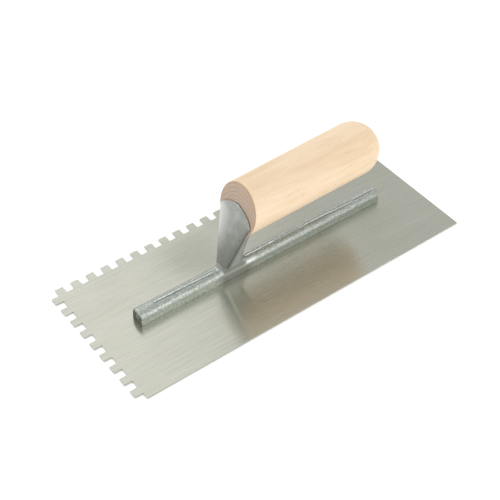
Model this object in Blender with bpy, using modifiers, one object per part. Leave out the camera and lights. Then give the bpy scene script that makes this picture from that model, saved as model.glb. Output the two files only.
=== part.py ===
"""Notched trowel: a steel blade riveted under a cast mounting with a turned wooden handle.

Metres, +Z up. The origin is the centre of the blade's underside. +X runs along the blade
towards the butt of the handle, and +Y towards the notched long edge.
"""

import math

import bmesh
import bpy
from mathutils import Matrix

# Gap between pieces that touch on the real tool.
GAP = 0.0003

# Blade: a thin sheet, with tooth and notch equally wide.
BLADE_LENGTH = 0.280
BLADE_WIDTH = 0.1143
BLADE_THICKNESS = 0.0010
LONG_EDGE_TEETH = 23
SHORT_EDGE_TEETH = 9
NOTCH_DEPTH = 0.0060
PITCH = BLADE_LENGTH / LONG_EDGE_TEETH
TOOTH = PITCH / 2

# Bar: a D-shaped casting, rounded on top, drafted on its sides and a little lower behind the shank.
BAR_START = -0.104
BAR_END = 0.1078
BAR_BASE = BLADE_THICKNESS + GAP
BAR_BASE_HALF_WIDTH = 0.0058
BAR_CROWN_RADIUS = 0.0047
BAR_FRONT_HEIGHT = 0.0118
BAR_BACK_HEIGHT = 0.0110
BAR_END_ROUND = 0.0008

# Handle: turned, nearly level, with a domed butt and a front face that leans back.
HANDLE_FRONT_X = -0.0215
HANDLE_FRONT_Z = 0.0585
HANDLE_BUTT_X = 0.0987
HANDLE_TILT = math.radians(2.0)
HANDLE_FACE_LEAN = math.radians(12.4)
HANDLE_FRONT_RADIUS = 0.0189
HANDLE_MIDDLE_RADIUS = 0.0192
HANDLE_BUTT_RADIUS = 0.0197
HANDLE_RIM = 0.0008

# Shank: a crowned shield that leans back and widens up to an arch against the handle's face.
SHANK_BOTTOM_Z = 0.0060
SHANK_FOOT_Z = 0.0130
SHANK_FOOT_HALF_WIDTH = 0.0054
SHANK_FOOT_EDGE_X = -0.0338
SHANK_SPRING_Z = 0.0530
SHANK_SPRING_HALF_WIDTH = 0.0159
SHANK_SPRING_EDGE_X = -0.0235
SHANK_APEX_Z = 0.0636
SHANK_APEX_X = -0.0214
SHANK_ARCH_POWER = 1.2
SHANK_FOOT_CROWN = 0.0030
SHANK_SPRING_CROWN = 0.0024
SHANK_LEAST_SHARE = -0.1
SHANK_STRAIGHT_STEPS = 14
SHANK_ARCH_STEPS = 10
SHANK_ARCH_END = math.radians(84)
FLANGE_EDGE_THICKNESS = 0.0028
NECK_FOOT_HALF_WIDTH = 0.0049
NECK_TOP_HALF_WIDTH = 0.0042
NECK_FOOT_BACK_X = -0.0177
NECK_TOP_BACK_X = -0.0078
NECK_TOP_Z = 0.0380
NECK_CURVE_POWER = 1.5
NECK_FILLET = 0.0040

# Tang: the tapered end of the casting, in a blind bore along the handle's axis.
TANG_ROOT_RADIUS = 0.0045
TANG_TIP_RADIUS = 0.0038
TANG_LENGTH = 0.0420
BORE_DEPTH = 0.0450

# Rivets: heads countersunk in the blade's underside, ends blind in the bar.
RIVETS = 8
RIVET_FIRST_X = -0.0910
RIVET_LAST_X = 0.0910
RIVET_RADIUS = 0.0016
RIVET_HEAD_RADIUS = 0.0031
RIVET_HEAD_HEIGHT = 0.0008
RIVET_RECESS = 0.00005
RIVET_TOP = 0.0075

FACE_BLOCK_SIZE = 0.080
ROUND_STEPS = 48
SMALL_STEPS = 24
ARC_STEPS = 12
SHARP_ANGLE = math.radians(35)


def clear_scene():
    """Removes every object and collection of the open scene."""
    for obj in list(bpy.data.objects):
        bpy.data.objects.remove(obj, do_unlink=True)
    for collection in list(bpy.data.collections):
        bpy.data.collections.remove(collection)


def new_collection(name):
    collection = bpy.data.collections.new(name)
    bpy.context.scene.collection.children.link(collection)
    return collection


def new_material(name, colour, roughness, metallic):
    material = bpy.data.materials.new(name)
    material.use_nodes = True
    shader = material.node_tree.nodes["Principled BSDF"]
    shader.inputs["Base Color"].default_value = (*colour, 1.0)
    shader.inputs["Roughness"].default_value = roughness
    shader.inputs["Metallic"].default_value = metallic
    material.diffuse_color = (*colour, 1.0)
    return material


def new_object(name, mesh, collection, material=None):
    obj = bpy.data.objects.new(name, mesh)
    collection.objects.link(obj)
    if material is not None:
        mesh.materials.append(material)
    if collection.name == "cutters":
        obj.hide_render = True
        obj.display_type = "WIRE"
    return obj


def mesh_from(bm, name):
    bmesh.ops.recalc_face_normals(bm, faces=bm.faces)
    mesh = bpy.data.meshes.new(name)
    bm.to_mesh(mesh)
    bm.free()
    return mesh


def plate(name, outline, thickness, collection, material):
    """A flat sheet on z = 0, from a closed outline."""
    curve = bpy.data.curves.new(name, "CURVE")
    curve.dimensions = "2D"
    curve.fill_mode = "BOTH"
    curve.extrude = thickness / 2
    spline = curve.splines.new("POLY")
    spline.points.add(len(outline) - 1)
    for point, (x, y) in zip(spline.points, outline):
        point.co = (x, y, 0, 1)
    spline.use_cyclic_u = True
    guide = bpy.data.objects.new(name + "_outline", curve)
    collection.objects.link(guide)
    guide.location.z = thickness / 2
    bpy.context.view_layer.update()
    graph = bpy.context.evaluated_depsgraph_get()
    mesh = bpy.data.meshes.new_from_object(guide.evaluated_get(graph))
    mesh.transform(guide.matrix_world)
    bpy.data.objects.remove(guide, do_unlink=True)
    bm = bmesh.new()
    bm.from_mesh(mesh)
    bmesh.ops.remove_doubles(bm, verts=bm.verts, dist=1e-6)
    bmesh.ops.recalc_face_normals(bm, faces=bm.faces)
    bm.to_mesh(mesh)
    bm.free()
    mesh.name = name
    return new_object(name, mesh, collection, material)


def loft(name, sections, collection, material=None):
    """A solid through sections of equally many points, each a closed ring in the same sense."""
    bm = bmesh.new()
    rings = [[bm.verts.new(point) for point in section] for section in sections]
    count = len(sections[0])
    for low, high in zip(rings, rings[1:]):
        for i in range(count):
            j = (i + 1) % count
            bm.faces.new((low[i], low[j], high[j], high[i]))
    bm.faces.new(rings[0])
    bm.faces.new(rings[-1])
    return new_object(name, mesh_from(bm, name), collection, material)


def turned(name, profile, steps, collection, material=None):
    """A turned solid about Z. The profile of (radius, height) runs from the top down."""
    bm = bmesh.new()
    points = [bm.verts.new((radius, 0, height)) for radius, height in profile]
    for upper, lower in zip(points, points[1:]):
        bm.edges.new((upper, lower))
    mesh = bpy.data.meshes.new(name)
    bm.to_mesh(mesh)
    bm.free()
    obj = new_object(name, mesh, collection, material)
    screw = obj.modifiers.new("turn", "SCREW")
    screw.angle = math.tau
    screw.steps = steps
    screw.render_steps = steps
    screw.use_merge_vertices = True
    screw.merge_threshold = 1e-6
    return obj


def combine(obj, other, operation):
    boolean = obj.modifiers.new(operation.lower() + "_" + other.name, "BOOLEAN")
    boolean.operation = operation
    boolean.solver = "EXACT"
    boolean.object = other


def shade(obj):
    """Smooth shading that keeps the real edges."""
    obj.data.shade_smooth()
    obj.data.set_sharp_from_angle(angle=SHARP_ANGLE)


def apply_modifiers(obj):
    """Leaves the evaluated mesh on the object, so that it can be joined and shaded."""
    bpy.context.view_layer.update()
    graph = bpy.context.evaluated_depsgraph_get()
    mesh = bpy.data.meshes.new_from_object(obj.evaluated_get(graph))
    mesh.name = obj.name
    obj.modifiers.clear()
    obj.data = mesh


def along(start, end, share):
    return start + (end - start) * share


def handle_matrix():
    """Takes +Z, the axis that the handle is turned about, to the handle's axis from its front face."""
    lean = Matrix.Rotation(math.pi / 2 - HANDLE_TILT, 4, "Y")
    return Matrix.Translation((HANDLE_FRONT_X, 0, HANDLE_FRONT_Z)) @ lean


def rivet_places():
    step = (RIVET_LAST_X - RIVET_FIRST_X) / (RIVETS - 1)
    return [RIVET_FIRST_X + i * step for i in range(RIVETS)]


def blade_outline():
    """The blade's corners, anticlockwise from the front left, with a notch at the back left corner."""
    half_length = BLADE_LENGTH / 2
    half_width = BLADE_WIDTH / 2
    root_x = NOTCH_DEPTH - half_length
    root_y = half_width - NOTCH_DEPTH
    outline = [(root_x, -half_width), (half_length, -half_width)]
    for i in range(LONG_EDGE_TEETH):
        right = half_length - i * PITCH
        if i > 0:
            outline.append((right, root_y))
        outline += [(right, half_width), (right - TOOTH, half_width), (right - TOOTH, root_y)]
    for i in range(SHORT_EDGE_TEETH):
        back = root_y - i * PITCH
        if i > 0:
            outline.append((root_x, back))
        outline += [(-half_length, back), (-half_length, back - TOOTH), (root_x, back - TOOTH)]
    return outline


def countersunk_profile(clearance, low, high):
    """A rivet's side from high down to low, widened by the clearance, with the head's cone at the bottom."""
    shank = RIVET_RADIUS + clearance
    head = RIVET_HEAD_RADIUS + clearance
    return [(0, high), (shank, high), (shank, RIVET_HEAD_HEIGHT), (head, low), (0, low)]


def make_blade(parts, cutters):
    steel = new_material("blade_steel", (0.62, 0.63, 0.58), 0.32, 1.0)
    blade = plate("blade", blade_outline(), BLADE_THICKNESS, parts, steel)
    for i, x in enumerate(rivet_places()):
        profile = countersunk_profile(GAP, -RIVET_RECESS, 2 * BLADE_THICKNESS)
        hole = turned(f"blade_hole_{i + 1}", profile, SMALL_STEPS, cutters)
        hole.location.x = x
        combine(blade, hole, "DIFFERENCE")
    apply_modifiers(blade)
    shade(blade)


def make_rivets(parts):
    steel = new_material("rivet_steel", (0.55, 0.55, 0.54), 0.35, 1.0)
    profile = countersunk_profile(0.0, RIVET_RECESS, RIVET_TOP)
    for i, x in enumerate(rivet_places()):
        rivet = turned(f"rivet_{i + 1}", profile, SMALL_STEPS, parts, steel)
        rivet.location.x = x
        apply_modifiers(rivet)
        shade(rivet)


def bar_section(x, height, shrink=0.0):
    """The bar's D-shaped ring at x: a flat base, drafted sides and a round crown."""
    base = BAR_BASE_HALF_WIDTH - shrink
    crown = BAR_CROWN_RADIUS - shrink
    centre = height - BAR_CROWN_RADIUS
    ring = [(x, -base, BAR_BASE), (x, base, BAR_BASE)]
    for i in range(ARC_STEPS + 1):
        angle = math.pi * i / ARC_STEPS
        ring.append((x, crown * math.cos(angle), centre + crown * math.sin(angle)))
    return ring


def make_bar(collection, material):
    sections = [
        bar_section(BAR_START, BAR_FRONT_HEIGHT),
        bar_section(SHANK_FOOT_EDGE_X, BAR_FRONT_HEIGHT),
        bar_section(NECK_FOOT_BACK_X, BAR_BACK_HEIGHT),
        bar_section(BAR_END - BAR_END_ROUND, BAR_BACK_HEIGHT),
        bar_section(BAR_END, BAR_BACK_HEIGHT, BAR_END_ROUND),
    ]
    return loft("mounting", sections, collection, material)


def shank_section(z, half_width, edge_x, crown):
    """The shank's ring at z: a crowned front, thin edges, and a neck that runs back with a round end."""
    rise = max(z - SHANK_FOOT_Z, 0.0) / (NECK_TOP_Z - SHANK_FOOT_Z)
    back_x = along(NECK_FOOT_BACK_X, NECK_TOP_BACK_X, rise ** NECK_CURVE_POWER)
    above_bar = max(z - BAR_BACK_HEIGHT, 0.0)
    back_x += NECK_FILLET * math.exp(-above_bar / (NECK_FILLET / 2))
    neck = min(along(NECK_FOOT_HALF_WIDTH, NECK_TOP_HALF_WIDTH, min(rise, 1.0)), half_width)
    neck_x = edge_x + FLANGE_EDGE_THICKNESS + (half_width - neck) / 2
    ring = []
    for i in range(ARC_STEPS + 1):
        across = 1 - 2 * i / ARC_STEPS
        front_x = edge_x - crown * (1 - across * across)
        ring.append((front_x, half_width * across, z))
    ring.append((edge_x + FLANGE_EDGE_THICKNESS, -half_width, z))
    ring.append((neck_x, -neck, z))
    for i in range(ARC_STEPS + 1):
        angle = math.pi * (i / ARC_STEPS - 0.5)
        ring.append((back_x + neck * (math.cos(angle) - 1), neck * math.sin(angle), z))
    ring.append((neck_x, neck, z))
    ring.append((edge_x + FLANGE_EDGE_THICKNESS, half_width, z))
    return ring


def make_shank(cutters):
    """The leaning shield and its neck, from inside the bar up to the arch."""
    sections = []
    for i in range(SHANK_STRAIGHT_STEPS):
        z = along(SHANK_BOTTOM_Z, SHANK_SPRING_Z, i / SHANK_STRAIGHT_STEPS)
        share = (z - SHANK_FOOT_Z) / (SHANK_SPRING_Z - SHANK_FOOT_Z)
        width_share = max(share, SHANK_LEAST_SHARE)
        half_width = along(SHANK_FOOT_HALF_WIDTH, SHANK_SPRING_HALF_WIDTH, width_share)
        edge_x = along(SHANK_FOOT_EDGE_X, SHANK_SPRING_EDGE_X, share)
        crown = along(SHANK_FOOT_CROWN, SHANK_SPRING_CROWN, share)
        sections.append(shank_section(z, half_width, edge_x, crown))
    for i in range(SHANK_ARCH_STEPS):
        angle = SHANK_ARCH_END * i / (SHANK_ARCH_STEPS - 1)
        rise = math.sin(angle)
        z = along(SHANK_SPRING_Z, SHANK_APEX_Z, rise)
        edge_x = along(SHANK_SPRING_EDGE_X, SHANK_APEX_X, rise)
        half_width = SHANK_SPRING_HALF_WIDTH * math.cos(angle) ** SHANK_ARCH_POWER
        crown = SHANK_SPRING_CROWN * math.cos(angle) ** 2
        sections.append(shank_section(z, half_width, edge_x, crown))
    return loft("shank", sections, cutters)


def handle_profile(clearance):
    """The handle's side from the butt down to a front end with spare length for the leaning cut."""
    length = (HANDLE_BUTT_X - HANDLE_FRONT_X) / math.cos(HANDLE_TILT)
    dome = length - HANDLE_BUTT_RADIUS
    profile = []
    for i in range(ARC_STEPS):
        angle = math.pi / 2 * i / ARC_STEPS
        radius = (HANDLE_BUTT_RADIUS + clearance) * math.sin(angle)
        profile.append((radius, dome + (HANDLE_BUTT_RADIUS + clearance) * math.cos(angle)))
    profile.append((HANDLE_BUTT_RADIUS + clearance, dome))
    profile.append((HANDLE_MIDDLE_RADIUS + clearance, dome / 2))
    profile.append((HANDLE_FRONT_RADIUS + clearance, 0))
    spare = 2 * HANDLE_FRONT_RADIUS * math.tan(HANDLE_FACE_LEAN + HANDLE_TILT)
    profile.append((HANDLE_FRONT_RADIUS + clearance, -spare))
    profile.append((0, -spare))
    return profile


def make_face_cutter(name, clearance, cutters):
    """A block in front of the handle's leaning face, which stops short of it by the clearance."""
    bm = bmesh.new()
    bmesh.ops.create_cube(bm, size=FACE_BLOCK_SIZE)
    bmesh.ops.translate(bm, verts=bm.verts, vec=(-FACE_BLOCK_SIZE / 2 - clearance, 0, 0))
    block = new_object(name, mesh_from(bm, name), cutters)
    place = Matrix.Translation((HANDLE_FRONT_X, 0, HANDLE_FRONT_Z))
    block.matrix_world = place @ Matrix.Rotation(HANDLE_FACE_LEAN, 4, "Y")
    return block


def handle_body(name, clearance, collection, material=None):
    """The handle's outside, grown by the clearance on every side."""
    body = turned(name, handle_profile(clearance), ROUND_STEPS, collection, material)
    body.matrix_world = handle_matrix()
    return body


def make_rod(name, low, low_radius, high, high_radius, cutters):
    """A round rod on the handle's axis, from low to high behind the front face."""
    bm = bmesh.new()
    bmesh.ops.create_cone(
        bm, cap_ends=True, segments=SMALL_STEPS,
        radius1=low_radius, radius2=high_radius, depth=high - low,
    )
    bmesh.ops.translate(bm, verts=bm.verts, vec=(0, 0, (low + high) / 2))
    rod = new_object(name, mesh_from(bm, name), cutters)
    rod.matrix_world = handle_matrix()
    return rod


def make_handle(parts, cutters):
    wood = new_material("handle_wood", (0.86, 0.66, 0.44), 0.55, 0.0)
    handle = handle_body("handle", 0.0, parts, wood)
    combine(handle, make_face_cutter("handle_face", 0.0, cutters), "DIFFERENCE")
    rim = handle.modifiers.new("rim", "BEVEL")
    rim.width = HANDLE_RIM
    rim.segments = 2
    rim.limit_method = "ANGLE"
    rim.angle_limit = SHARP_ANGLE
    radius = TANG_ROOT_RADIUS + GAP
    bore = make_rod("handle_bore", -BORE_DEPTH, radius, BORE_DEPTH, radius, cutters)
    combine(handle, bore, "DIFFERENCE")
    apply_modifiers(handle)
    shade(handle)


def make_mounting(parts, cutters):
    """One casting: the bar, the shank cut back to the outside of the handle, and the tang."""
    aluminium = new_material("cast_aluminium", (0.50, 0.53, 0.51), 0.38, 1.0)
    mounting = make_bar(parts, aluminium)
    shank = make_shank(cutters)
    room = handle_body("handle_room", GAP, cutters)
    combine(room, make_face_cutter("room_face", GAP, cutters), "DIFFERENCE")
    apply_modifiers(room)
    combine(shank, room, "DIFFERENCE")
    apply_modifiers(shank)
    combine(mounting, shank, "UNION")
    tang = make_rod("tang", -BORE_DEPTH, TANG_ROOT_RADIUS, TANG_LENGTH, TANG_TIP_RADIUS, cutters)
    combine(tang, make_face_cutter("tang_face", 2 * GAP, cutters), "DIFFERENCE")
    apply_modifiers(tang)
    combine(mounting, tang, "UNION")
    for i, x in enumerate(rivet_places()):
        radius = RIVET_RADIUS + GAP
        profile = [(0, RIVET_TOP + GAP), (radius, RIVET_TOP + GAP), (radius, 0), (0, 0)]
        hole = turned(f"bar_hole_{i + 1}", profile, SMALL_STEPS, cutters)
        hole.location.x = x
        combine(mounting, hole, "DIFFERENCE")
    apply_modifiers(mounting)
    shade(mounting)


def main():
    clear_scene()
    parts = new_collection("notched_trowel")
    cutters = new_collection("cutters")
    cutters.hide_render = True
    make_blade(parts, cutters)
    make_rivets(parts)
    make_mounting(parts, cutters)
    make_handle(parts, cutters)
    bpy.context.view_layer.update()


main()
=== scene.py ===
import math

import bmesh
import bpy
import numpy as np
from mathutils import Matrix, Vector, noise


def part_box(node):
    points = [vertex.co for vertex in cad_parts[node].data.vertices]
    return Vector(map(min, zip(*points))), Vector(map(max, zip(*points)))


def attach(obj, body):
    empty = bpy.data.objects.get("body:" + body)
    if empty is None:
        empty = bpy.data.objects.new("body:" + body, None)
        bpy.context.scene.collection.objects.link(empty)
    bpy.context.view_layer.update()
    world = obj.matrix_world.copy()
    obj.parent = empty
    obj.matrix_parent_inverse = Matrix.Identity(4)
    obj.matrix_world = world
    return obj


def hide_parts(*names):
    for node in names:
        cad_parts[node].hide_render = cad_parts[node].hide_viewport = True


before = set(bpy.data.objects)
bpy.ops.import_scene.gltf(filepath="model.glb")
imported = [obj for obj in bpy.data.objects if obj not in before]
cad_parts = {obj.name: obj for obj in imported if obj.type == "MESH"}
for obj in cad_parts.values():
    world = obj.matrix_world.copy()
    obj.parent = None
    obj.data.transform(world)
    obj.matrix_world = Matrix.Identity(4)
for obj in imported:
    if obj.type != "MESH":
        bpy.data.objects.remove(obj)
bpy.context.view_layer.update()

BODY = "root"
MM = 0.001

# Camera: where it stands and what it looks at, in the frame's metres.
CAMERA_PLACE = Vector((-0.3527, -0.4269, 0.5579))
CAMERA_TARGET = Vector((-0.0015, 0.0098, 0.0010))
CAMERA_ROLL = math.radians(2.03)
CAMERA_LENS = 79.5
CAMERA_SENSOR = 36.0

# Handle: turned about an axis that rises towards the butt, with a front face that leans back.
HANDLE_FRONT = Vector((-21.5, 0, 58.5)) * MM
HANDLE_TILT = math.radians(2.0)
HANDLE_FACE_LEAN = math.radians(12.4)
HANDLE_FRONT_RADIUS = 18.9 * MM
HANDLE_MIDDLE_RADIUS = 19.2 * MM
HANDLE_BUTT_RADIUS = 19.65 * MM
HANDLE_RIM = 0.9 * MM
BORE_RADIUS = 4.8 * MM
BORE_DEPTH = 45 * MM
BUTT_ROWS = 24
SIDE_ROWS = 49
RIM_ROWS = 6
SCORCHED_RIM_ROWS = 3
FACE_ROWS = 14
BORE_ROWS = 12
TANG_LENGTH = 42 * MM
TANG_ROOT_RADIUS = 4.5 * MM
TANG_TIP_RADIUS = 3.8 * MM

# Blade: how far its edges are broken, and how the brush map slants over them.
BLADE_EDGE_BREAK = 0.12 * MM
BLADE_EDGE_SLANT = (0.37, 0.53)

# Casting: a D-shaped bar and a shield that leans back and widens up to an arch.
BAR_BASE_HALF_WIDTH = 5.85 * MM
BAR_CROWN_HALF_WIDTH = 5.4 * MM
BAR_CROWN_HEIGHT = 5.8 * MM
BAR_SHOULDER = 0.8
BAR_FRONT_HEIGHT = 11.6 * MM
BAR_BACK_HEIGHT = 10.8 * MM
BAR_STEP_START = -33.8 * MM
BAR_STEP_END = -17.7 * MM
BAR_BASE_SINK = 0.2 * MM
BAR_END_ROOM = 0.1 * MM
SHANK_BOTTOM_Z = 6.0 * MM
SHANK_FOOT_Z = 13.0 * MM
SHANK_FOOT_HALF_WIDTH = 5.9 * MM
SHANK_FOOT_EDGE_X = -33.6 * MM
SHANK_SPRING_Z = 53.0 * MM
SHANK_SPRING_HALF_WIDTH = 16.3 * MM
SHANK_SPRING_EDGE_X = -23.4 * MM
SHANK_APEX_Z = 63.4 * MM
SHANK_APEX_X = -21.3 * MM
SHANK_ARCH_POWER = 1.4
SHANK_ARCH_END = math.radians(86)
SHANK_LEAST_SHARE = -0.1
SHANK_FOOT_CROWN = 3.0 * MM
SHANK_SPRING_CROWN = 2.4 * MM
FLANGE_EDGE_THICKNESS = 2.6 * MM
NECK_FOOT_HALF_WIDTH = 5.6 * MM
NECK_TOP_HALF_WIDTH = 4.2 * MM
NECK_FOOT_BACK_X = -17.9 * MM
NECK_TOP_BACK_X = -8.0 * MM
NECK_TOP_Z = 38.0 * MM
NECK_CURVE_POWER = 1.5
NECK_FILLET = 4.0 * MM
FIT_GAP = 0.5 * MM
CAST_VOXEL = 0.4 * MM
RIVET_HOLE_RADIUS = 1.9 * MM

# Cast skin, in mm: its pebbles, the root where the neck melts into the bar, and the seat on the
# blade, where all points within its reach are level.
PEBBLE_DEPTH = 0.13
ROOT_X = -24
ROOT_Z = 9.5
ROOT_PASSES = 40
SEAT_GAP = 0.02
SEAT_REACH = 0.5

# Flash left along the bar's top by the mould: start, end, height, and its sideways shift at its
# start and its end, all in mm.
FLASH = (
    (-91, -42, 0.90, 0.3, -0.6),
    (-18, 11, 0.85, -0.3, -0.3),
    (11, 41, 0.50, -0.2, -0.5),
    (41, 64, 0.90, -0.2, -0.5),
    (64, 85, 0.80, -1.1, -1.3),
    (85, 105, 0.85, 0.1, 0.1),
)
FLASH_HALF_WIDTH = 0.34
GUTTER_DISTANCE = 0.95
GUTTER_HALF_WIDTH = 0.35
GUTTER_SHARE = 0.35

# Surroundings: their brightness, and brighter stretches as a direction, the cosines at which each
# starts and is full, and how many times as bright it is there.
WORLD_STRENGTH = 0.90
WORLD_GLOWS = (
    ((-0.10, 0.67, 0.73), 0.830, 0.880, 1.76),
    ((-0.10, -0.65, 0.75), 0.80, 0.90, 1.12),
    ((-0.10, -1.00, 0.10), 0.88, 0.97, 1.35),
)
KEY_PLACE = (0.24, -0.88, 0.14)
KEY_TARGET = (0, 0, 0.01)
KEY_SIZE = 0.44
KEY_POWER = 1.2
FLOOR_SIZE = 4.0
FLOOR_DROP = 0.3 * MM


# ---- Shader helpers ----

class Shader:
    """A node material with one Principled shader, and short calls for the nodes that feed it."""

    def __init__(self, name):
        self.material = bpy.data.materials.new(name)
        self.material.use_nodes = True
        self.tree = self.material.node_tree
        self.principled = self.tree.nodes["Principled BSDF"]
        self.place = self.node("ShaderNodeTexCoord").outputs["Object"]

    def node(self, kind, **settings):
        made = self.tree.nodes.new(kind)
        for key, value in settings.items():
            setattr(made, key, value)
        return made

    def feed(self, socket, value):
        if isinstance(value, bpy.types.NodeSocket):
            self.tree.links.new(value, socket)
        else:
            socket.default_value = value

    def set(self, **values):
        for key, value in values.items():
            self.feed(self.principled.inputs[key.replace("_", " ")], value)

    def scaled(self, scale, turn=(0, 0, 0), shift=(0, 0, 0)):
        mapping = self.node("ShaderNodeMapping")
        mapping.inputs["Location"].default_value = shift
        mapping.inputs["Rotation"].default_value = turn
        mapping.inputs["Scale"].default_value = scale
        self.feed(mapping.inputs["Vector"], self.place)
        return mapping.outputs["Vector"]

    def noise(self, scale, detail=3.0, roughness=0.5, distortion=0.0, shift=(0, 0, 0)):
        """Noise whose scale, a number or one for each axis, counts features in a metre."""
        made = self.node("ShaderNodeTexNoise")
        axes = scale if isinstance(scale, tuple) else (scale,) * 3
        made.inputs["Scale"].default_value = 1.0
        made.inputs["Detail"].default_value = detail
        made.inputs["Roughness"].default_value = roughness
        made.inputs["Distortion"].default_value = distortion
        self.feed(made.inputs["Vector"], self.scaled(axes, shift=shift))
        return made.outputs["Fac"]

    def math(self, operation, first, second=0.0, third=0.0, clamp=False):
        made = self.node("ShaderNodeMath", operation=operation, use_clamp=clamp)
        for socket, value in zip(made.inputs, (first, second, third)):
            self.feed(socket, value)
        return made.outputs[0]

    def between(self, value, low, high, to_low=0.0, to_high=1.0, smooth=True):
        """Takes the stretch from low to high onto the one from to_low to to_high."""
        made = self.node("ShaderNodeMapRange")
        made.interpolation_type = "SMOOTHSTEP" if smooth else "LINEAR"
        for socket, number in zip(made.inputs, (value, low, high, to_low, to_high)):
            self.feed(socket, number)
        return made.outputs["Result"]

    def mix(self, share, first, second, blend="MIX"):
        made = self.node("ShaderNodeMix", data_type="RGBA", blend_type=blend)
        made.clamp_factor = True
        self.feed(made.inputs[0], share)
        for socket, colour in ((made.inputs[6], first), (made.inputs[7], second)):
            self.feed(socket, (*colour, 1.0) if isinstance(colour, tuple) else colour)
        return made.outputs[2]

    def attribute(self, name):
        return self.node("ShaderNodeAttribute", attribute_name=name).outputs["Fac"]

    def bump(self, height, distance, strength=1.0, below=None):
        made = self.node("ShaderNodeBump")
        made.inputs["Strength"].default_value = strength
        made.inputs["Distance"].default_value = distance
        self.feed(made.inputs["Height"], height)
        if below is not None:
            self.feed(made.inputs["Normal"], below)
        return made.outputs["Normal"]


# ---- Materials ----

def blade_steel():
    """Sheet brushed along the blade, with faint bands, a haze, and a dark patch of painted shade
    next to the shank.
    """
    s = Shader("blade_steel")
    hairline = s.noise((26, 2600, 40), detail=2.0)
    streak = s.noise((24, 1000, 20), detail=3.0, roughness=0.6)
    band = s.noise((8, 70, 10), detail=2.0)
    haze = s.noise(16, detail=3.0)
    tone = s.math("ADD", s.math("MULTIPLY", streak, 0.75), s.math("MULTIPLY", band, 0.25))
    tone = s.between(tone, 0.3, 0.7)
    colour = s.mix(tone, (0.416, 0.422, 0.362), (0.474, 0.478, 0.417))
    colour = s.mix(s.between(hairline, 0.45, 0.80, 0.0, 0.16), colour, (0.28, 0.287, 0.245))
    colour = s.mix(s.between(haze, 0.5, 0.85, 0.0, 0.18), colour, (0.36, 0.36, 0.315))
    # Painted shade: the blade is darkened in a round patch next to the shank.
    away = s.node("ShaderNodeVectorMath", operation="DISTANCE")
    s.feed(away.inputs[0], s.place)
    s.feed(away.inputs[1], (-0.038, 0.030, 0.001))
    shank_shade = s.between(away.outputs["Value"], 0.030, 0.006, 0.0, 0.16)
    colour = s.mix(shank_shade, colour, (0.03, 0.03, 0.03))
    rough = s.between(hairline, 0.2, 0.8, 0.20, 0.28)
    rough = s.math("ADD", rough, s.between(haze, 0.4, 0.8, 0.0, 0.03))
    grooves = s.bump(hairline, 0.004 * MM, 0.5)
    s.set(Base_Color=colour, Metallic=0.95, Roughness=rough, Normal=grooves, Anisotropic=0.78)
    tangent = s.node("ShaderNodeTangent", direction_type="UV_MAP", uv_map="brush")
    s.feed(s.principled.inputs["Tangent"], tangent.outputs["Tangent"])
    return s.material


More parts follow.
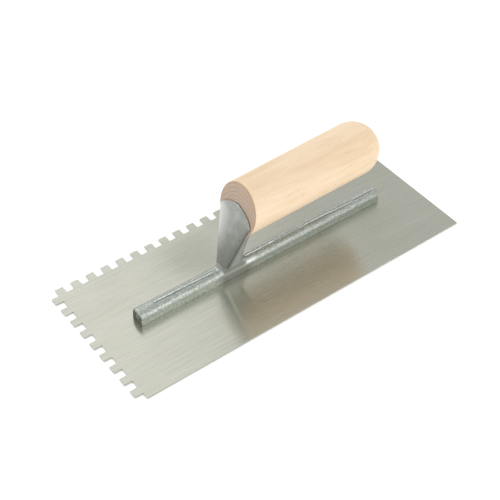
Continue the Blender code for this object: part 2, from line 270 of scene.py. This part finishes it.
def cast_aluminium():
    """Casting with a pebbled skin on the bar, flanks painted lighter as painted light, a smoother
    shank, and an end painted dark, partly as its as-cast colour and partly as painted shade.
    """
    s = Shader("cast_aluminium")
    ground = s.attribute("ground")
    dark_end_and_shade = s.attribute("dark_end_and_shade")
    edge_shade_line = s.attribute("edge_shade_line")
    pebble = s.noise(720, detail=3.0, roughness=0.6)
    grit = s.noise(3200, detail=2.0)
    blotch = s.noise(170, detail=3.0)
    skin = s.mix(s.between(pebble, 0.35, 0.68), (0.310, 0.335, 0.308), (0.510, 0.540, 0.500))
    skin = s.mix(s.between(blotch, 0.45, 0.75, 0.0, 0.30), skin, (0.29, 0.32, 0.30))
    face = s.mix(s.between(blotch, 0.3, 0.7), (0.345, 0.358, 0.333), (0.410, 0.424, 0.394))
    face = s.mix(s.between(grit, 0.45, 0.75, 0.0, 0.25), face, (0.29, 0.302, 0.28))
    pits = s.between(s.noise(230, detail=1.0, shift=(0.3, 0.1, 0.7)), 0.70, 0.76)
    pits = s.math("MULTIPLY", pits, s.attribute("pitted"))
    face = s.mix(s.math("MULTIPLY", pits, 0.6), face, (0.20, 0.21, 0.20))
    # Painted light: surfaces facing sideways are made lighter, more towards the left end than the
    # right.
    facing = s.node("ShaderNodeSeparateXYZ")
    s.feed(facing.inputs[0], s.node("ShaderNodeNewGeometry").outputs["Normal"])
    side_light_share = s.between(facing.outputs["Z"], 0.48, 0.15)
    position = s.node("ShaderNodeSeparateXYZ")
    s.feed(position.inputs[0], s.place)
    painted_light_gain = s.between(position.outputs["X"], -0.045, 0.0, 1.66, 1.35)
    bright = s.node("ShaderNodeCombineXYZ")
    for socket in bright.inputs:
        s.feed(socket, painted_light_gain)
    skin = s.mix(side_light_share, skin, s.mix(1.0, skin, bright.outputs[0], "MULTIPLY"))
    colour = s.mix(ground, skin, face)
    # Painted highlight along the +Y rim of the shank's front face.
    colour = s.mix(s.attribute("painted_rim_highlight"), colour, (0.610, 0.625, 0.600))
    # Painted light: the sides of the neck and of the casting near it are made lighter.
    colour = s.mix(s.attribute("neck"), colour, (0.575, 0.600, 0.570))
    # Painted shade in the gutters next to the flash on the bar's top.
    colour = s.mix(s.attribute("gutter_shade"), colour, (0.12, 0.125, 0.12))
    # Painted highlight along the crest of the flash.
    colour = s.mix(s.attribute("crest"), colour, (0.84, 0.86, 0.82))
    # Painted shade: a dark line along the -Y edge of the shank's front face, in colour only.
    colour = s.mix(edge_shade_line, colour, (0.17, 0.18, 0.17))
    # The bar's end made dark, partly as its as-cast colour and partly as painted shade; less dark
    # inside the oval.
    colour = s.mix(dark_end_and_shade, colour, (0.08, 0.085, 0.075))
    rough = s.between(pebble, 0.3, 0.7, 0.44, 0.34)
    rough = s.math("ADD", rough, s.between(grit, 0.3, 0.7, -0.03, 0.05))
    height = s.math("ADD", s.math("MULTIPLY", pebble, 0.8), s.math("MULTIPLY", grit, 0.2))
    depth = s.between(ground, 0.0, 1.0, 1.0, 0.10, smooth=False)
    normal = s.bump(s.math("MULTIPLY", height, depth), 0.30 * MM, 0.8)
    normal = s.bump(pits, 0.10 * MM, -0.6, below=normal)
    s.set(Base_Color=colour, Metallic=1.0, Roughness=rough, Normal=normal)
    return s.material


def pale_wood():
    """Plain turned hardwood: long grain and specks on the side, growth rings on the cut end."""
    s = Shader("handle_wood")
    end = s.attribute("end_grain")
    rim = s.attribute("rim")
    wander = s.noise((9, 70, 70), detail=2.0)
    parts = s.node("ShaderNodeSeparateXYZ")
    s.feed(parts.inputs[0], s.place)
    across = s.math("ADD", parts.outputs["Y"], 0.003)
    up = s.math("ADD", parts.outputs["Z"], -0.049)
    radius = s.math("SQRT", s.math("ADD", s.math("POWER", across, 2.0), s.math("POWER", up, 2.0)))
    radius = s.math("ADD", radius, s.math("MULTIPLY", wander, 0.006))
    ring = s.math("FRACT", s.math("MULTIPLY", radius, 400.0))
    late = s.math("POWER", ring, 2.0)
    fibre = s.noise((28, 1500, 1500), detail=3.0)
    fleck = s.between(s.noise((90, 900, 900), detail=1.0), 0.70, 0.80)
    patch = s.noise((14, 75, 75), detail=3.0, roughness=0.6)
    side = s.mix(s.between(patch, 0.40, 0.75), (0.860, 0.695, 0.500), (0.780, 0.595, 0.390))
    side = s.mix(s.math("MULTIPLY", late, 0.14), side, (0.66, 0.44, 0.26))
    side = s.mix(s.between(fibre, 0.38, 0.70, 0.0, 0.32), side, (0.74, 0.54, 0.35))
    side = s.mix(s.math("MULTIPLY", fleck, 0.22), side, (0.50, 0.30, 0.17))
    thread = s.noise((10, 1100, 1100), detail=1.0, shift=(0.5, 0.2, 0.9))
    side = s.mix(s.between(thread, 0.64, 0.72, 0.0, 0.22), side, (0.62, 0.42, 0.25))
    speck = s.noise(300, detail=0.0, shift=(0.2, 0.4, 0.1))
    side = s.mix(s.between(speck, 0.80, 0.86, 0.0, 0.60), side, (0.45, 0.28, 0.16))
    pores = s.noise(2300, detail=2.0)
    mottle = s.noise(420, detail=3.0, roughness=0.6)
    cut = s.mix(s.between(late, 0.1, 1.0), (0.540, 0.422, 0.320), (0.405, 0.308, 0.230))
    cut = s.mix(s.between(mottle, 0.35, 0.70, 0.0, 0.45), cut, (0.48, 0.335, 0.245))
    cut = s.mix(s.between(pores, 0.50, 0.72, 0.0, 0.5), cut, (0.36, 0.25, 0.18))
    colour = s.mix(end, side, cut)
    colour = s.mix(s.math("MULTIPLY", rim, 0.75), colour, (0.42, 0.24, 0.13))
    grain = s.math("ADD", s.math("MULTIPLY", fibre, 0.7), s.math("MULTIPLY", pores, 0.3))
    normal = s.bump(grain, 0.05 * MM, 0.5)
    rough = s.between(fibre, 0.3, 0.7, 0.50, 0.62)
    s.set(Base_Color=colour, Roughness=rough, Normal=normal)
    s.set(Specular_IOR_Level=0.35)
    return s.material


def rivet_steel():
    """Rivet heads ground flush, with the swirl of the belt across them."""
    s = Shader("rivet_steel")
    swirl = s.noise((2600, 60, 60), detail=2.0)
    colour = s.mix(s.between(swirl, 0.3, 0.7), (0.46, 0.46, 0.44), (0.60, 0.60, 0.57))
    normal = s.bump(swirl, 0.01 * MM, 0.5)
    s.set(Base_Color=colour, Metallic=1.0, Roughness=s.between(swirl, 0.3, 0.7, 0.28, 0.40))
    s.set(Normal=normal)
    return s.material


# ---- Mesh helpers ----

def linked(name, mesh, material):
    obj = bpy.data.objects.new(name, mesh)
    bpy.context.scene.collection.objects.link(obj)
    mesh.materials.clear()
    mesh.materials.append(material)
    return obj


def finished(piece, node):
    """Puts the piece on its body, and hides the CAD part that it stands for."""
    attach(piece, BODY)
    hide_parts(node)
    return piece


def evaluated(obj):
    """The object's mesh with its modifiers applied."""
    bpy.context.view_layer.update()
    graph = bpy.context.evaluated_depsgraph_get()
    mesh = bpy.data.meshes.new_from_object(obj.evaluated_get(graph))
    obj.modifiers.clear()
    obj.data = mesh
    return mesh


def rings_mesh(name, rings, closed_start=True, closed_end=True):
    """A mesh through rings of equally many points, with its open ends closed by a fan."""
    bm = bmesh.new()
    rows = [[bm.verts.new(point) for point in ring] for ring in rings]
    count = len(rows[0])
    for low, high in zip(rows, rows[1:]):
        for i in range(count):
            j = (i + 1) % count
            bm.faces.new((low[i], low[j], high[j], high[i]))
    for wanted, row in ((closed_start, rows[0]), (closed_end, rows[-1])):
        if not wanted:
            continue
        middle = bm.verts.new(sum((v.co for v in row), Vector()) / count)
        for i in range(count):
            bm.faces.new((row[i], row[(i + 1) % count], middle))
    bmesh.ops.recalc_face_normals(bm, faces=bm.faces)
    mesh = bpy.data.meshes.new(name)
    bm.to_mesh(mesh)
    bm.free()
    return mesh


def along(start, end, share):
    return start + (end - start) * share


def smoothstep(value, low, high):
    share = np.clip((value - low) / (high - low), 0.0, 1.0)
    return share * share * (3 - 2 * share)


def set_attribute(mesh, name, values):
    layer = mesh.attributes.new(name, "FLOAT", "POINT")
    layer.data.foreach_set("value", np.asarray(values, np.float32))


def points_and_normals(mesh):
    points = np.empty(len(mesh.vertices) * 3, np.float32)
    mesh.vertices.foreach_get("co", points)
    normals = np.empty(len(mesh.vertices) * 3, np.float32)
    mesh.vertex_normals.foreach_get("vector", normals)
    return points.reshape(-1, 3).astype(float), normals.reshape(-1, 3).astype(float)


def field(points, scale, seed=0.0):
    """Smooth noise from about -1 to 1 at each point, with so many features in a metre."""
    return np.array([noise.noise(Vector(p * scale) + Vector((seed, -seed, seed))) for p in points])


# ---- Blade ----

def make_blade():
    """The punched sheet with its edges just broken, and a UV map for the brushing direction."""
    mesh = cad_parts["blade"].data.copy()
    bm = bmesh.new()
    bm.from_mesh(mesh)
    bmesh.ops.remove_doubles(bm, verts=bm.verts, dist=1e-6)
    bmesh.ops.dissolve_limit(bm, angle_limit=math.radians(1), verts=bm.verts, edges=bm.edges)
    bmesh.ops.recalc_face_normals(bm, faces=bm.faces)
    bm.to_mesh(mesh)
    bm.free()
    blade = linked("blade_sheet", mesh, blade_steel())
    edge = blade.modifiers.new("broken_edge", "BEVEL")
    edge.width = BLADE_EDGE_BREAK
    edge.segments = 2
    edge.limit_method = "ANGLE"
    edge.angle_limit = math.radians(40)
    mesh = evaluated(blade)
    brush = mesh.uv_layers.new(name="brush")
    places = np.empty(len(mesh.vertices) * 3, np.float32)
    mesh.vertices.foreach_get("co", places)
    corners = np.empty(len(mesh.loops), np.int32)
    mesh.loops.foreach_get("vertex_index", corners)
    places = places.reshape(-1, 3)[corners]
    flat = places[:, [1, 0]] + places[:, 2:] * BLADE_EDGE_SLANT
    brush.uv.foreach_set("vector", flat.astype(np.float32).ravel())
    mesh.shade_flat()
    return finished(blade, "blade")


# ---- Casting ----

def bar_ring(x, height, points=64):
    """A flat base, sides that lean in slightly and a rounded top with full shoulders."""
    centre = height - BAR_CROWN_HEIGHT
    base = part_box("mounting")[0].z - BAR_BASE_SINK
    ring = [Vector((x, -BAR_BASE_HALF_WIDTH, base)), Vector((x, BAR_BASE_HALF_WIDTH, base))]
    for i in range(points + 1):
        angle = math.pi * i / points
        across = math.copysign(abs(math.cos(angle)) ** BAR_SHOULDER, math.cos(angle))
        up = math.sin(angle) ** BAR_SHOULDER
        ring.append(Vector((x, BAR_CROWN_HALF_WIDTH * across, centre + BAR_CROWN_HEIGHT * up)))
    return ring


def bar_rings():
    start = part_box("mounting")[0].x + BAR_END_ROOM
    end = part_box("mounting")[1].x - BAR_END_ROOM
    rings = []
    for x in (start, BAR_STEP_START, BAR_STEP_END, end):
        height = BAR_FRONT_HEIGHT if x <= BAR_STEP_START else BAR_BACK_HEIGHT
        rings.append(bar_ring(x, height))
    return rings


def shank_ring(z, half_width, edge_x, crown, points=48):
    """The shank's ring at z: a crowned front, thin edges, and a neck with a round back."""
    rise = max(z - SHANK_FOOT_Z, 0.0) / (NECK_TOP_Z - SHANK_FOOT_Z)
    back_x = along(NECK_FOOT_BACK_X, NECK_TOP_BACK_X, rise ** NECK_CURVE_POWER)
    above_bar = max(z - BAR_BACK_HEIGHT, 0.0)
    back_x += NECK_FILLET * math.exp(-above_bar / (NECK_FILLET / 2))
    neck = min(along(NECK_FOOT_HALF_WIDTH, NECK_TOP_HALF_WIDTH, min(rise, 1.0)), half_width)
    neck_x = edge_x + FLANGE_EDGE_THICKNESS + (half_width - neck) / 2
    ring = []
    for i in range(points + 1):
        across = 1 - 2 * i / points
        bulge = 0.5 * (1 - across ** 2) + 0.5 * math.sqrt(1 - across ** 4)
        ring.append(Vector((edge_x - crown * bulge, half_width * across, z)))
    ring.append(Vector((edge_x + FLANGE_EDGE_THICKNESS, -half_width, z)))
    ring.append(Vector((neck_x, -neck, z)))
    for i in range(points // 2 + 1):
        angle = math.pi * (i / (points // 2) - 0.5)
        ring.append(Vector((back_x + neck * (math.cos(angle) - 1), neck * math.sin(angle), z)))
    ring.append(Vector((neck_x, neck, z)))
    ring.append(Vector((edge_x + FLANGE_EDGE_THICKNESS, half_width, z)))
    return ring


def shank_rings(straight=44, arch=28):
    rings = []
    for i in range(straight):
        z = along(SHANK_BOTTOM_Z, SHANK_SPRING_Z, i / straight)
        share = (z - SHANK_FOOT_Z) / (SHANK_SPRING_Z - SHANK_FOOT_Z)
        width_share = max(share, SHANK_LEAST_SHARE)
        half_width = along(SHANK_FOOT_HALF_WIDTH, SHANK_SPRING_HALF_WIDTH, width_share)
        edge_x = along(SHANK_FOOT_EDGE_X, SHANK_SPRING_EDGE_X, share)
        rings.append(shank_ring(
            z, half_width, edge_x, along(SHANK_FOOT_CROWN, SHANK_SPRING_CROWN, share)))
    for i in range(arch):
        angle = SHANK_ARCH_END * i / (arch - 1)
        rise = math.sin(angle)
        rings.append(shank_ring(
            along(SHANK_SPRING_Z, SHANK_APEX_Z, rise),
            SHANK_SPRING_HALF_WIDTH * math.cos(angle) ** SHANK_ARCH_POWER,
            along(SHANK_SPRING_EDGE_X, SHANK_APEX_X, rise),
            SHANK_SPRING_CROWN * math.cos(angle) ** 2,
        ))
    return rings


def handle_axis():
    """Takes +Z onto the handle's axis, from the middle of its front face."""
    turn = Matrix.Rotation(math.pi / 2 - HANDLE_TILT, 4, "Y")
    return Matrix.Translation(HANDLE_FRONT) @ turn


def handle_radius(distance, length):
    """The handle's radius at a distance behind its front face."""
    dome = length - HANDLE_BUTT_RADIUS
    if distance >= dome:
        return math.sqrt(max(HANDLE_BUTT_RADIUS ** 2 - (distance - dome) ** 2, 0.0))
    share = max(distance, 0.0) / dome
    first = along(HANDLE_FRONT_RADIUS, HANDLE_MIDDLE_RADIUS, share)
    second = along(HANDLE_MIDDLE_RADIUS, HANDLE_BUTT_RADIUS, share)
    return along(first, second, share)


def handle_length():
    return (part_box("handle")[1].x - HANDLE_FRONT.x) / math.cos(HANDLE_TILT)


def lean_slope():
    return math.tan(HANDLE_FACE_LEAN + HANDLE_TILT)


def room_for_handle(steps=40, segments=96):
    """The handle's outside, grown by the fit gap, which the shank is cut back to."""
    length = handle_length()
    rings = []
    for i in range(steps):
        share = i / (steps - 1)
        ring = []
        for k in range(segments):
            angle = math.tau * k / segments
            radius = HANDLE_MIDDLE_RADIUS + FIT_GAP
            start = radius * math.sin(angle) * lean_slope() - FIT_GAP
            distance = along(start, length, share)
            ring.append(handle_axis() @ Vector((
                -radius * math.sin(angle), radius * math.cos(angle), distance)))
        rings.append(ring)
    return rings_mesh("handle_room", rings)


def tang_rings(segments=48):
    """The tang, from inside the flange to its round end."""
    rings = []
    for distance, radius in (
        (None, TANG_ROOT_RADIUS),
        (TANG_LENGTH - 1.0 * MM, TANG_TIP_RADIUS),
        (TANG_LENGTH - 0.1 * MM, TANG_TIP_RADIUS - 1.0 * MM),
    ):
        ring = []
        for k in range(segments):
            angle = math.tau * k / segments
            place = distance
            if place is None:
                place = radius * math.sin(angle) * lean_slope() - 2 * FIT_GAP
            ring.append(handle_axis() @ Vector((
                -radius * math.sin(angle), radius * math.cos(angle), place)))
        rings.append(ring)
    return rings


def refine_crest(mesh):
    """Splits the faces under the flash along the bar's top, so that it can be thin and sharp."""
    bm = bmesh.new()
    bm.from_mesh(mesh)
    for reach in (1.6 * MM, 1.1 * MM):
        edges = [
            e for e in bm.edges
            if all(abs(v.co.y) < reach and 10.0 * MM < v.co.z < 12.5 * MM for v in e.verts)
        ]
        bmesh.ops.subdivide_edges(bm, edges=edges, cuts=1, use_grid_fill=True)
    bmesh.ops.triangulate(bm, faces=[f for f in bm.faces if len(f.verts) > 4])
    bm.to_mesh(mesh)
    bm.free()


def melt_root(casting):
    """Smooths the casting round the foot of the neck, until it runs into the bar without a step."""
    mesh = evaluated(casting)
    x, _, z = points_and_normals(mesh)[0].T / MM
    near = smoothstep(-np.abs(x - ROOT_X), -17.0, -13.0)
    near = near * smoothstep(-np.abs(z - ROOT_Z), -5.5, -3.0)
    root = casting.vertex_groups.new(name="root")
    for index in np.flatnonzero(near):
        root.add([int(index)], float(near[index]), "REPLACE")
    melt = casting.modifiers.new("melt", "SMOOTH")
    melt.factor = 0.5
    melt.iterations = ROOT_PASSES
    melt.vertex_group = root.name


def mould_flash(x, y, nz, on_bar):
    """How far the flash pushes each point out, in mm, how much painted shade lies in its gutters
    and how much painted highlight lies on its crest.
    """
    line = np.c_[x, y * 0, y * 0] * MM
    push = np.zeros(len(x))
    gutter_shade = np.zeros(len(x))
    crest_highlight = np.zeros(len(x))
    for start, end, height, first_side, last_side in FLASH:
        stretch = smoothstep(x, start - 0.6, start + 0.4)
        stretch = stretch * (1 - smoothstep(x, end - 0.4, end + 0.6))
        centre = along(first_side, last_side, (x - start) / (end - start))
        centre = centre + 0.12 * field(line, 260, start * 0.37)
        crest = np.exp(-((y - centre) / FLASH_HALF_WIDTH) ** 2)
        gutter = np.exp(-((np.abs(y - centre) - GUTTER_DISTANCE) / GUTTER_HALF_WIDTH) ** 2)
        rough = 0.80 + 0.35 * field(line, 900, start)
        step = height * (crest - GUTTER_SHARE * gutter) * stretch * rough
        push += step * on_bar * (nz > 0.3)
        # Painted shade in the gutters, stronger in front of the flash than behind it.
        fresh = gutter * np.where(y < centre, 1.0, 0.45) * stretch * height
        gutter_shade = np.maximum(gutter_shade, fresh * on_bar * (nz > 0.3))
        # Painted highlight on the crest of the flash.
        crest_highlight = np.maximum(crest_highlight, crest ** 2 * stretch * height * on_bar * (nz > 0.1))
    return push, gutter_shade, crest_highlight


def shape_casting(mesh):
    """Pushes the cast skin about: pebbles, flash, a dished end, a lip and a bead at the neck."""
    points, normals = points_and_normals(mesh)
    x, y, z = points.T / MM
    nx, ny, nz = normals.T
    share = (points[:, 2] - SHANK_FOOT_Z) / (SHANK_SPRING_Z - SHANK_FOOT_Z)
    edge_x = along(SHANK_FOOT_EDGE_X, SHANK_SPRING_EDGE_X, share) / MM
    half_width = along(SHANK_FOOT_HALF_WIDTH, SHANK_SPRING_HALF_WIDTH, share) / MM

    # Where each point lies, from 0 to 1.
    on_front = (nx < -0.55) * smoothstep(z, 13.0, 15.5) * smoothstep(-x, 18.0, 19.0)
    in_handle = smoothstep(points[:, 0], HANDLE_FRONT.x - 1 * MM, HANDLE_FRONT.x) * (z > 41)
    on_neck = smoothstep(z, 11.5, 15.0)
    by_neck = np.exp(-(np.maximum(np.abs(x + 25.0) - 9.0, 0.0) / 5.0) ** 2) * (ny < -0.3)
    by_neck = np.maximum(on_neck, by_neck)
    end_x = x.min()
    on_end = (x < end_x + 0.3) & (nx < -0.8)
    oval = np.sqrt((y / 1.7) ** 2 + ((z - 6.0) / 3.0) ** 2)

    # How far each point is pushed out along its normal, in mm.
    pebble = field(points, 620) * 0.6 + field(points, 1300, 5.0) * 0.4
    push = PEBBLE_DEPTH * pebble * (1 - 0.8 * by_neck) * (1 - on_front)
    push *= nz > -0.9
    flash, gutter_shade, crest_highlight = mould_flash(x, y, nz, 1 - on_neck)
    push += flash
    groove = np.exp(-((oval - 1.0) / 0.25) ** 2)
    push -= 0.25 * groove * on_end
    lip = np.exp(-((x + 36.6) / 0.8) ** 2 - (y / 3.6) ** 2) * smoothstep(z, 9.5, 11.0)
    push += 0.55 * lip * (z < 14.5)
    bead = np.exp(-((x + 15.6) ** 2 + (y + 0.4) ** 2) / 0.8 ** 2)
    push += 0.5 * bead * (z > 10) * (z < 13)
    points += normals * (push * (1 - in_handle) * MM)[:, None]
    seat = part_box("blade")[1].z + SEAT_GAP * MM
    points[:, 2] = np.where(points[:, 2] < seat + SEAT_REACH * MM, seat, points[:, 2])
    mesh.vertices.foreach_set("co", points.astype(np.float32).ravel())
    mesh.update()

    # What the material reads at each point.
    # Painted shade line along the -Y edge of the front face.
    rim_distance = np.hypot(x - edge_x + 0.3, np.abs(y) - half_width + 0.1)
    edge_shade_line = np.exp(-(rim_distance / 0.6) ** 2) * (z > 14) * (z < 52) * (y < 0)
    before_rim = (x < edge_x + 0.3) * smoothstep(z, 13.0, 15.5)
    # Painted highlight on the +Y rim of the front face, fading towards the middle and growing up
    # the shank.
    rim_highlight_share = smoothstep(y / half_width, 0.0, 1.0) * smoothstep(z, 16.0, 44.0)
    beside = smoothstep(np.abs(ny), 0.3, 0.6) * smoothstep(z, 4.0, 9.0) * (1 - before_rim)
    # How much the bar's end is darkened, as-cast colour and painted shade: less inside the oval.
    end_dark_share = 0.9 - 0.35 * (oval < 0.85)
    set_attribute(mesh, "ground", np.maximum(on_front, by_neck) * (1 - in_handle))
    set_attribute(mesh, "edge_shade_line", 0.8 * edge_shade_line)
    set_attribute(mesh, "pitted", on_front)
    set_attribute(mesh, "gutter_shade", 0.85 * gutter_shade)
    set_attribute(mesh, "crest", 0.5 * crest_highlight)
    set_attribute(mesh, "painted_rim_highlight", rim_highlight_share * before_rim * (1 - smoothstep(z, 54.0, 60.0)))
    # Painted light on the sideways-facing surfaces near the neck.
    set_attribute(mesh, "neck", beside * smoothstep(-np.abs(x + 22), -17, -11) * (1 - in_handle))
    set_attribute(mesh, "dark_end_and_shade", on_end * end_dark_share * (1 - smoothstep(z, 8.5, 10.5)))


def rivet_hole(name):
    low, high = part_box(name)
    bm = bmesh.new()
    bmesh.ops.create_cone(
        bm, cap_ends=True, segments=24, radius1=RIVET_HOLE_RADIUS,
        radius2=RIVET_HOLE_RADIUS, depth=high.z - low.z)
    bmesh.ops.translate(bm, verts=bm.verts, vec=((low.x + high.x) / 2, 0, (low.z + high.z) / 2))
    mesh = bpy.data.meshes.new(name + "_hole")
    bm.to_mesh(mesh)
    bm.free()
    return mesh


def cut(obj, meshes, operation):
    """Joins the meshes to the object's, or takes them away from it, in one Boolean each."""
    for mesh in meshes:
        tool = bpy.data.objects.new("tool", mesh)
        bpy.context.scene.collection.objects.link(tool)
        boolean = obj.modifiers.new("cut", "BOOLEAN")
        boolean.operation = operation
        boolean.solver = "EXACT"
        boolean.object = tool
        evaluated(obj)
        bpy.data.objects.remove(tool, do_unlink=True)


def make_casting():
    """Bar, shank and tang, made one skin with rounded corners, then given its cast surface."""
    casting = linked("casting", rings_mesh("casting", shank_rings()), cast_aluminium())
    cut(casting, [room_for_handle()], "DIFFERENCE")
    cut(casting, [rings_mesh("bar", bar_rings()), rings_mesh("tang", tang_rings())], "UNION")
    cut(casting, [rivet_hole(f"rivet_{i + 1}") for i in range(8)], "DIFFERENCE")
    remesh = casting.modifiers.new("skin", "REMESH")
    remesh.mode = "VOXEL"
    remesh.voxel_size = CAST_VOXEL
    evaluated(casting)
    soften = casting.modifiers.new("soften", "SMOOTH")
    soften.factor = 0.5
    soften.iterations = 3
    melt_root(casting)
    refine_crest(evaluated(casting))
    shape_casting(casting.data)
    casting.data.shade_smooth()
    return finished(casting, "mounting")


# ---- Handle ----

def make_handle(segments=160):
    """The turned handle as rows of points, from the middle of the butt to the end of the bore."""
    length = handle_length()
    dome = length - HANDLE_BUTT_RADIUS
    slope = lean_slope()
    rows = []
    grain = []

    def add_row(radius_at, distance_at, end_grain):
        row = []
        for k in range(segments):
            angle = math.tau * k / segments
            distance = distance_at(math.sin(angle))
            radius = radius_at(distance)
            row.append(Vector((-radius * math.sin(angle), radius * math.cos(angle), distance)))
        rows.append(row)
        grain.append(end_grain)

    for i in range(BUTT_ROWS):
        angle = math.radians(along(2, 90, i / BUTT_ROWS))
        place = dome + HANDLE_BUTT_RADIUS * math.cos(angle)
        add_row(lambda d, a=angle: HANDLE_BUTT_RADIUS * math.sin(a), lambda up, p=place: p, 0.0)
    for i in range(SIDE_ROWS):
        share = i / (SIDE_ROWS - 1)

        def side_place(up, share=share):
            start = HANDLE_FRONT_RADIUS * up * slope + HANDLE_RIM
            return along(dome, start, share)

        add_row(lambda d: handle_radius(d, length), side_place, 0.0)
    for i in range(1, RIM_ROWS + 1):
        angle = math.pi / 2 * i / RIM_ROWS
        radius = HANDLE_FRONT_RADIUS - HANDLE_RIM * (1 - math.cos(angle))
        set_back = HANDLE_RIM * (1 - math.sin(angle))
        add_row(
            lambda d, r=radius: r,
            lambda up, r=radius, b=set_back: r * up * slope + b,
            smoothstep(i, 2, 5),
        )
    for i in range(1, FACE_ROWS + 1):
        radius = along(HANDLE_FRONT_RADIUS - HANDLE_RIM, BORE_RADIUS, i / FACE_ROWS)
        add_row(lambda d, r=radius: r, lambda up, r=radius: r * up * slope, 1.0)
    for i in range(1, BORE_ROWS + 1):
        share = i / BORE_ROWS

        def bore_place(up, share=share):
            return along(BORE_RADIUS * up * slope, BORE_DEPTH, share)

        add_row(lambda d: BORE_RADIUS, bore_place, 1.0)
    mesh = rings_mesh("handle", rows)
    mesh.transform(handle_axis())
    values = [value for value in grain for _ in range(segments)]
    set_attribute(mesh, "end_grain", values + [0.0, 1.0])
    rim = np.zeros(len(rows))
    rim_start = BUTT_ROWS + SIDE_ROWS + 1
    rim[rim_start:rim_start + SCORCHED_RIM_ROWS] = 1.0
    set_attribute(mesh, "rim", np.append(np.repeat(rim, segments), [0.0, 0.0]))
    mesh.shade_smooth()
    mesh.set_sharp_from_angle(angle=math.radians(50))
    handle = linked("wood_handle", mesh, pale_wood())
    return finished(handle, "handle")


# ---- Rivets ----

def make_rivets(segments=48):
    """Countersunk rivets with a softened head edge, at the places of their CAD nodes."""
    steel = rivet_steel()
    for i in range(8):
        name = f"rivet_{i + 1}"
        low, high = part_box(name)
        middle = (low + high) / 2
        head = (high.x - low.x) / 2
        shank = 1.6 * MM
        profile = (
            (0.15 * head, high.z),
            (shank - 0.3 * MM, high.z),
            (shank, high.z - 0.3 * MM),
            (shank, 0.8 * MM),
            (head - 0.1 * MM, low.z + 0.16 * MM),
            (head, low.z + 0.08 * MM),
            (head - 0.08 * MM, low.z + 0.01 * MM),
            (0.6 * head, low.z),
            (0.15 * head, low.z + 0.02 * MM),
        )
        rings = []
        for radius, place in profile:
            rings.append([
                Vector((
                    middle.x + radius * math.cos(math.tau * k / segments),
                    middle.y + radius * math.sin(math.tau * k / segments),
                    place,
                ))
                for k in range(segments)
            ])
        mesh = rings_mesh(name, rings)
        mesh.shade_smooth()
        mesh.set_sharp_from_angle(angle=math.radians(40))
        finished(linked(f"flush_{name}", mesh, steel), name)


# ---- Stage ----

def make_floor():
    bm = bmesh.new()
    bmesh.ops.create_grid(bm, x_segments=1, y_segments=1, size=FLOOR_SIZE)
    mesh = bpy.data.meshes.new("floor")
    bm.to_mesh(mesh)
    bm.free()
    s = Shader("pale_floor")
    tone = s.mix(s.noise(3.0), (0.93, 0.93, 0.93), (0.95, 0.95, 0.95))
    s.set(Base_Color=tone, Roughness=0.9)
    s.set(Emission_Color=(1.0, 1.0, 1.0, 1.0), Emission_Strength=0.20)
    floor = linked("floor", mesh, s.material)
    floor.location.z = -FLOOR_DROP


def make_world():
    """Even studio surroundings with brighter stretches overhead, which the metal mirrors."""
    world = bpy.data.worlds.new("studio")
    bpy.context.scene.world = world
    world.use_nodes = True
    tree = world.node_tree
    background = tree.nodes["Background"]
    place = tree.nodes.new("ShaderNodeTexCoord")
    strength = None
    for direction, far, near, share in WORLD_GLOWS:
        dot = tree.nodes.new("ShaderNodeVectorMath")
        dot.operation = "DOT_PRODUCT"
        dot.inputs[1].default_value = Vector(direction).normalized()
        tree.links.new(place.outputs["Generated"], dot.inputs[0])
        edge = tree.nodes.new("ShaderNodeMapRange")
        edge.interpolation_type = "SMOOTHSTEP"
        for socket, number in zip(edge.inputs[1:5], (far, near, 1.0, share)):
            socket.default_value = number
        tree.links.new(dot.outputs["Value"], edge.inputs[0])
        product = tree.nodes.new("ShaderNodeMath")
        product.operation = "MULTIPLY"
        tree.links.new(edge.outputs["Result"], product.inputs[0])
        if strength is None:
            product.inputs[1].default_value = WORLD_STRENGTH
        else:
            tree.links.new(strength, product.inputs[1])
        strength = product.outputs[0]
    tree.links.new(strength, background.inputs["Strength"])
    background.inputs["Color"].default_value = (1.0, 1.0, 1.0, 1.0)


def make_light(name, place, target, size, power):
    light = bpy.data.lights.new(name, "AREA")
    light.shape = "DISK"
    light.size = size
    light.energy = power
    obj = bpy.data.objects.new(name, light)
    bpy.context.scene.collection.objects.link(obj)
    obj.location = place
    obj.rotation_mode = "QUATERNION"
    obj.rotation_quaternion = (Vector(target) - Vector(place)).to_track_quat("-Z", "Y")


def make_camera():
    camera = bpy.data.cameras.new("camera")
    camera.lens = CAMERA_LENS
    camera.sensor_width = CAMERA_SENSOR
    camera.clip_start = 0.01
    obj = bpy.data.objects.new("camera", camera)
    bpy.context.scene.collection.objects.link(obj)
    aim = (CAMERA_TARGET - CAMERA_PLACE).to_track_quat("-Z", "Y").to_matrix().to_4x4()
    obj.matrix_world = Matrix.Translation(CAMERA_PLACE) @ aim @ Matrix.Rotation(CAMERA_ROLL, 4, "Z")
    bpy.context.scene.camera = obj


make_blade()
make_casting()
make_handle()
make_rivets()
make_floor()
make_world()
make_light("key", KEY_PLACE, KEY_TARGET, KEY_SIZE, KEY_POWER)
make_camera()
bpy.context.scene.view_settings.view_transform = "Standard"
